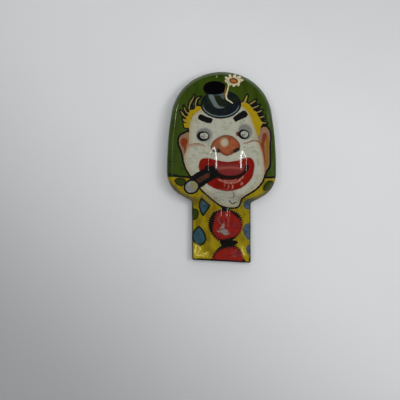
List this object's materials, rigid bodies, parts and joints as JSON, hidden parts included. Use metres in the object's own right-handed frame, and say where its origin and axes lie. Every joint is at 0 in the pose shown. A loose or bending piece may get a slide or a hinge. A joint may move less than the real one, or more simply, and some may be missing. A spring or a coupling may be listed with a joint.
{
  "type": "hand clicker",
  "caption": "Pressed-tin hand clicker with a domed clown-face head, a short flat handle and a sprung steel tongue held behind it.",
  "frame": {"origin": "centre of the footprint, on the plane of the rim's edge that it rests on", "axes": "+Z out of the printed face; +Y from the handle towards the top of the head; +X to the right, seen from in front of the face"},
  "size_m": [0.0502, 0.088, 0.0117],
  "materials": {
    "printed_tin": "glossy lithographed tinplate",
    "spring_steel": "bright spring steel"
  },
  "bodies": {
    "shell": {"face_shell": "printed_tin"},
    "tongue": {"click_tongue": "spring_steel"}
  },
  "joints": [
    {"name": "tongue_flex", "type": "hinge", "parent": "shell", "child": "tongue", "pos_m": [0, -0.031, 0.00215], "axis": [1, 0, 0], "range_deg": [0, 4], "stiffness_Nm_per_rad": 0.05, "springref_deg": -5.73}
  ]
}
